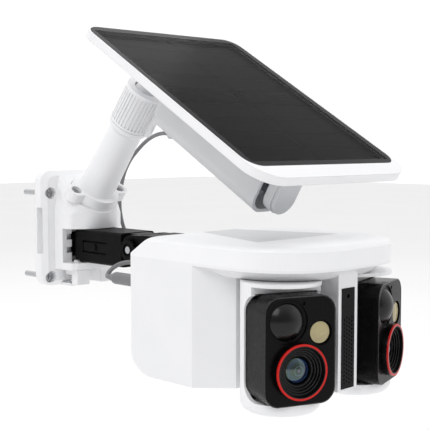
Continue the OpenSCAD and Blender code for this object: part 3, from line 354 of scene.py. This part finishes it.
# grey ASA of the tracker's housings and of the ball stud
greyAsa = mouldedSurface("greyAsaMoulded", "#cfd0d2", "#d8d9db", 0.42, 0.35, 0.08, 0)
# glass-filled nylon, spark-eroded texture: dark and dull with a fine tooth
darkNylon = mouldedSurface("glassFilledNylon", "#070808", "#0c0d0d", 0.48, 0.45, 0.30, 0.5,
                           {"Specular IOR Level": 0.08})
# polycarbonate, black and glossy, on the faces and housings
blackPolycarbonate = mouldedSurface("blackPolycarbonate", "#070708", "#0c0c0d", 0.26, 0.5, 0.03, 0.4,
                                    {"Specular IOR Level": 0.1})
# the smoked dome of the motion sensor
smokedDome = mouldedSurface("smokedPolyethylene", "#050505", "#0a0a0a", 0.24, 0.6, 0.02, 0.2,
                            {"Specular IOR Level": 0.35})
# the same black resin painted lighter grey, as a painted highlight on the edges of the face and of the lens
# steps
highlightPolycarbonate = mouldedSurface("paintedEdgeHighlight", "#2a2a2b", "#343435", 0.22, 0.5, 0.02, 0.1)
# smooth white ASA of the visor, the body's resin painted a little lighter as painted light on its lit top,
# with a light grey trapezoid laid on its flat top
litCoverAsa = mouldedSurface("coverAsaMoulded", "#eff0f2", "#f5f5f6", 0.36, 0.30, 0.01, 0)
# milky diffuser of the lamp
milkyDiffuser = mouldedSurface("milkyAcrylic", "#a89c72", "#b8ac84", 0.25, 0.5, 0.04, 0.2)
# EPDM seals, dull black
sealRubber = mouldedSurface("epdmRubber", "#121212", "#1b1b1b", 0.75, 0.4, 0.3, 0.2)
# natural nylon, cream
naturalNylon = mouldedSurface("naturalNylon", "#cfc9b6", "#dad5c4", 0.45, 0.5, 0.1, 0.2)
# PVC cord jacket, mid grey, satin
greyPvc = mouldedSurface("greyPvcJacket", "#6f7072", "#7c7d7f", 0.42, 0.5, 0.08, 0.2)
# heat-shrunk sleeve of the battery
blueSleeve = mouldedSurface("heatShrinkSleeve", "#1c4a7c", "#25568b", 0.3, 0.8, 0.05, 0.2)
# glass-fibre board under green lacquer
greenBoard = mouldedSurface("lacquerOnGlassFibre", "#0f4a22", "#17592c", 0.35, 0.8, 0.15, 0.1)
# zinc-plated screws and bolts
zincSteel = brushedSurface("zincPlatedSteel", "#a9abad", "#c9cacc", 0.34, 0.15)
# spring wire
drawnSteel = brushedSurface("drawnSteel", "#8f9193", "#b9bbbd", 0.25, 0.1)
# pressed motor cans
motorSteel = brushedSurface("pressedSteelCan", "#85878a", "#a6a8ab", 0.38, 0.25)

# place and colour of the light grey trapezoid on the visor's flat top
coverValues = {
    "patchRear": -154.0, "patchFront": -234.5,
    "halfRear": 13.0, "halfFront": 40.0,
    "patchColor": "#c9cacc", "edge": 0.8,
}


# lays a light grey patch over the visor's colour: between two lines across, and between two
# slanted lines whose distance from the middle grows evenly towards the front
def addGreyPatch(material):
    tree = material.node_tree
    shader = next(n for n in tree.nodes if n.type == "BSDF_PRINCIPLED")
    colorLink = shader.inputs["Base Color"].links[0].from_socket
    place = next(n for n in tree.nodes if n.type == "TEX_COORD").outputs["Object"]
    axis = addNode(tree, "ShaderNodeSeparateXYZ", {"Vector": place})
    rear, front = coverValues["patchRear"] * mm, coverValues["patchFront"] * mm
    edge = coverValues["edge"] * mm
    reach = addNode(tree, "ShaderNodeMapRange", {"Value": axis.outputs["Y"]},
                    {"From Min": rear, "From Max": front, "To Min": coverValues["halfRear"] * mm,
                     "To Max": coverValues["halfFront"] * mm})
    away = addNode(tree, "ShaderNodeMath", {0: axis.outputs["X"]}, operation="ABSOLUTE")
    spare = addNode(tree, "ShaderNodeMath", {0: reach.outputs["Result"], 1: away.outputs["Value"]},
                    operation="SUBTRACT")
    masks = []
    for source, start, end in ((spare.outputs["Value"], 0.0, edge),
                               (axis.outputs["Y"], front, front + edge),
                               (axis.outputs["Y"], rear, rear - edge)):
        mask = addNode(tree, "ShaderNodeMapRange", {"Value": source}, {"From Min": start, "From Max": end})
        masks.append(mask.outputs["Result"])
    total = masks[0]
    for mask in masks[1:]:
        total = addNode(tree, "ShaderNodeMath", {0: total, 1: mask}, operation="MULTIPLY").outputs["Value"]
    tree.links.new(layColor(tree, total, colorLink, coverValues["patchColor"]), shader.inputs["Base Color"])


addGreyPatch(litCoverAsa)

panelValues = {
    "lineGap": 1.55,     # mm between a cell's collector lines
    "lineWidth": 0.12,   # share of the gap that is line
    "cellCloud": 14,
    "dust": 22,
    "glassCover": (0.42, 1.0),   # how far the glass hides what is under it, inside and in the print
    "glassRough": (0.10, 0.2),
    "specular": 0.03,
    "tilt": 30.75,
}


# crystalline silicon cell: near black, with thin silver collector lines along the panel
def siliconCell():
    material, tree, shader, place = newMaterial("crystallineSilicon")
    axis = addNode(tree, "ShaderNodeSeparateXYZ", {"Vector": place})
    count = addNode(tree, "ShaderNodeMath", {0: axis.outputs["X"]}, {1: 1 / (panelValues["lineGap"] * mm)},
                    operation="MULTIPLY")
    saw = addNode(tree, "ShaderNodeMath", {0: count.outputs["Value"]}, operation="FRACT")
    line = addNode(tree, "ShaderNodeMath", {0: saw.outputs["Value"]}, {1: panelValues["lineWidth"]},
                   operation="LESS_THAN")
    cloud = cloudNoise(tree, place, panelValues["cellCloud"], 2.0)
    dark = blendColors(tree, cloud, "#0a0b0b", "#101112")
    tree.links.new(layColor(tree, line.outputs["Value"], dark, "#191a1c"), shader.inputs["Base Color"])
    shader.inputs["Roughness"].default_value = 0.3
    shader.inputs["Specular IOR Level"].default_value = panelValues["specular"]
    return material


# low-iron cover glass with a dark printed border beyond the cells: in the panel's own plane, a
# place is in the border if it is further from the cells' middle than half their width or length
def coverGlass():
    material, tree, shader, place = newMaterial("printedCoverGlass")
    slope = radians(panelValues["tilt"])
    turn = addNode(tree, "ShaderNodeMapping", {"Vector": place}, {"Rotation": (slope, 0, 0)},
                   vector_type="TEXTURE")
    axis = addNode(tree, "ShaderNodeSeparateXYZ", {"Vector": turn.outputs["Vector"]})
    mesh = nodes["solar_cells"].data
    points = np.empty(len(mesh.vertices) * 3)
    mesh.vertices.foreach_get("co", points)
    points = points.reshape(-1, 3)
    along = points[:, 1] * np.cos(slope) + points[:, 2] * np.sin(slope)
    masks = []
    for socket, lowEnd, highEnd in (("X", points[:, 0].min(), points[:, 0].max()),
                                    ("Y", along.min(), along.max())):
        middle = (lowEnd + highEnd) / 2
        half = (highEnd - lowEnd) / 2
        offset = addNode(tree, "ShaderNodeMath", {0: axis.outputs[socket]}, {1: float(middle)},
                         operation="SUBTRACT")
        size = addNode(tree, "ShaderNodeMath", {0: offset.outputs["Value"]}, operation="ABSOLUTE")
        masks.append(addNode(tree, "ShaderNodeMath", {0: size.outputs["Value"]}, {1: float(half)},
                             operation="GREATER_THAN"))
    border = addNode(tree, "ShaderNodeMath", {0: masks[0].outputs["Value"], 1: masks[1].outputs["Value"]},
                     operation="MAXIMUM")
    tree.links.new(blendColors(tree, border.outputs["Value"], "#0b0c0d", "#222324"),
                   shader.inputs["Base Color"])
    alpha = addNode(tree, "ShaderNodeMapRange", {"Value": border.outputs["Value"]},
                    dict(zip(("To Min", "To Max"), panelValues["glassCover"])))
    tree.links.new(alpha.outputs["Result"], shader.inputs["Alpha"])
    dust = cloudNoise(tree, place, panelValues["dust"], 4.0)
    gloss = addNode(tree, "ShaderNodeMapRange", {"Value": dust},
                    dict(zip(("To Min", "To Max"), panelValues["glassRough"])))
    tree.links.new(gloss.outputs["Result"], shader.inputs["Roughness"])
    shader.inputs["Specular IOR Level"].default_value = panelValues["specular"]
    return material


# distance in mm of a shaded point from a module's lens axis
def lensDistance(tree, place, side):
    lensX, lensZ = moduleValues["lensPlace"]
    middle = modulePoints(side, [(lensX, -moduleValues["faceOut"], lensZ)])[0]
    offset = addNode(tree, "ShaderNodeVectorMath", {0: place}, {1: middle}, operation="SUBTRACT")
    cross = addNode(tree, "ShaderNodeVectorMath", {0: offset.outputs["Vector"]}, {1: moduleWay(side)},
                    operation="CROSS_PRODUCT")
    size = addNode(tree, "ShaderNodeVectorMath", {0: cross.outputs["Vector"]}, operation="LENGTH")
    return addNode(tree, "ShaderNodeMath", {0: size.outputs["Value"]}, {1: 1 / mm},
                   operation="MULTIPLY").outputs["Value"]


# colours by distance from the lens axis, each stop a distance in mm and a colour
def ringColors(tree, distance, reach, stops):
    share = addNode(tree, "ShaderNodeMath", {0: distance}, {1: 1 / reach}, operation="MULTIPLY")
    ramp = addNode(tree, "ShaderNodeValToRGB", {"Fac": share.outputs["Value"]})
    elements = ramp.color_ramp.elements
    while len(elements) < len(stops):
        elements.new(1.0)
    for element, (radius, code) in zip(elements, stops):
        element.position = radius / reach
        element.color = hexColor(code)
    return ramp.outputs["Color"]


# each stop is a distance in mm from the lens axis and the colour there
lensValues = {
    "ringReach": 18,
    "ringStops": [(0, "#060606"), (14.95, "#060606"), (15.1, "#c4120b"), (17, "#c4120b")],
    "glassReach": 10,
    # past the black pupil these stops are painted reflections and a painted highlight ring
    "glassReflectionStops": [
        (0, "#b06fb4"), (0.35, "#7a3f86"), (0.8, "#07060a"), (2.3, "#050508"), (2.6, "#56606c"),
        (3.0, "#20242c"), (3.6, "#0a0c12"), (5.2, "#16203a"), (6.4, "#22365c"), (7.2, "#0c1018"),
        (7.9, "#050506"),
    ],
}


# painted polycarbonate ring: red outer band, black inside it
def lensRing(side):
    material, tree, shader, place = newMaterial(side + "PaintedLensRing")
    colors = ringColors(tree, lensDistance(tree, place, side), lensValues["ringReach"],
                        lensValues["ringStops"])
    tree.links.new(colors, shader.inputs["Base Color"])
    shader.inputs["Roughness"].default_value = 0.32
    shader.inputs["Specular IOR Level"].default_value = 0.3
    return material


# coated lens glass, its colour painted with reflections: a painted violet glint in a black pupil, a thin
# painted highlight ring on the inner element, and a painted blue reflection of the coating outside it
def coatedLens(side):
    material, tree, shader, place = newMaterial(side + "CoatedLensGlass")
    colors = ringColors(tree, lensDistance(tree, place, side), lensValues["glassReach"],
                        lensValues["glassReflectionStops"])
    tree.links.new(colors, shader.inputs["Base Color"])
    for key, value in {"Roughness": 0.04, "Coat Weight": 1.0, "Coat Roughness": 0.02,
                       "Thin Film Thickness": 420.0, "Thin Film IOR": 1.6}.items():
        shader.inputs[key].default_value = value
    return material


slotMaterials = {
    "white_plastic": whiteAsa,
    "cover_plastic": satinAsa,
    "grey_plastic": greyAsa,
    "dark_plastic": darkNylon,
    "steel_screw": zincSteel,
    "spring_steel": drawnSteel,
    "ball_plastic": greyAsa,
    "motor_case": motorSteel,
    "seal_rubber": sealRubber,
    "friction_nylon": naturalNylon,
    "friction_rubber": sealRubber,
    "solar_cell": siliconCell(),
    "panel_glass": coverGlass(),
    "battery_sleeve": blueSleeve,
    "circuit_board": greenBoard,
    "socket_plastic": darkNylon,
    "cord_jacket": greyPvc,
    "black_gloss": blackPolycarbonate,
    "dome_plastic": smokedDome,
    "lamp_plastic": milkyDiffuser,
}

nodeMaterials = {"top_cover": litCoverAsa}
for side in ("left", "right"):
    nodeMaterials[side + "_lens_ring"] = lensRing(side)
    nodeMaterials[side + "_lens"] = coatedLens(side)
for part in frame["record"]["subparts"]:
    mesh = nodes[part["node"]].data
    mesh.materials.clear()
    mesh.materials.append(nodeMaterials.get(part["node"]) or slotMaterials[part["material_slot"]])
for highlightTrim in highlightTrims:
    highlightTrim.data.materials.append(highlightPolycarbonate)
cord.data.materials.append(greyPvc)
print("materials set:", len(slotMaterials), "slots")


# floor and studio light
studioValues = {
    "floorDrop": 170 * mm,
    "floorSize": 12.0,
    "floorMottle": 3.0,
    "worldColor": "#ffffff",
    "brightWay": (0.55, 0.55, 0.63),
    "frontFrom": -0.7, "backFrom": 0.75,
    "frontStrength": 0.34, "backStrength": 1.12,
    # each soft box: place and size in metres, and power
    "softBoxes": {
        "keyLight": ((-1.3, -0.5, 1.3), (1.2, 1.0), 11.0),
        "fillLight": ((0.9, -1.6, 0.5), (1.4, 1.4), 2.0),
        "rimLight": ((0.8, 0.9, 1.2), (1.0, 1.0), 3.0),
    },
}

lowPoint = cadBox[0][2] - studioValues["floorDrop"]
half = studioValues["floorSize"] / 2
floorMesh = bpy.data.meshes.new("floor")
corners = [(-half, -half, lowPoint), (half, -half, lowPoint), (half, half, lowPoint),
           (-half, half, lowPoint)]
floorMesh.from_pydata(corners, [], [(0, 1, 2, 3)])
floor = bpy.data.objects.new("floor", floorMesh)
bpy.context.scene.collection.objects.link(floor)
floorMaterial, floorTree, floorShader, floorPlace = newMaterial("paintedFloor")
floorCloud = addNode(floorTree, "ShaderNodeTexNoise", {"Vector": floorPlace},
                     {"Scale": studioValues["floorMottle"], "Detail": 2.0})
floorTree.links.new(blendColors(floorTree, floorCloud.outputs["Fac"], "#f2f2f2", "#f6f6f6"),
                    floorShader.inputs["Base Color"])
floorShader.inputs["Roughness"].default_value = 0.9
floorMesh.materials.append(floorMaterial)

world = bpy.data.worlds.new("studio")
bpy.context.scene.world = world
world.use_nodes = True
background = world.node_tree.nodes["Background"]
background.inputs["Color"].default_value = hexColor(studioValues["worldColor"])
# bright behind the object, dim behind the camera, so that black faces stay black
heading = addNode(world.node_tree, "ShaderNodeTexCoord").outputs["Generated"]
facing = addNode(world.node_tree, "ShaderNodeVectorMath", {0: heading}, {1: studioValues["brightWay"]},
                 operation="DOT_PRODUCT")
glow = addNode(world.node_tree, "ShaderNodeMapRange", {"Value": facing.outputs["Value"]},
               {"From Min": studioValues["frontFrom"], "From Max": studioValues["backFrom"],
                "To Min": studioValues["frontStrength"], "To Max": studioValues["backStrength"]},
               interpolation_type="SMOOTHSTEP")
world.node_tree.links.new(glow.outputs["Result"], background.inputs["Strength"])


# soft box of a given size in metres, aimed at the object's middle
def addSoftBox(name, place, size, power):
    data = bpy.data.lights.new(name, "AREA")
    data.shape = "RECTANGLE"
    data.size, data.size_y = size
    data.energy = power
    light = bpy.data.objects.new(name, data)
    bpy.context.scene.collection.objects.link(light)
    light.location = place
    middle = np.mean(np.array(cadBox), axis=0)
    aim = np.array(place) - middle
    flat = np.hypot(aim[0], aim[1])
    light.rotation_euler = (np.arctan2(flat, aim[2]), 0, np.arctan2(aim[1], aim[0]) + pi / 2)


for name, (place, size, power) in studioValues["softBoxes"].items():
    addSoftBox(name, place, size, power)
print("studio set")
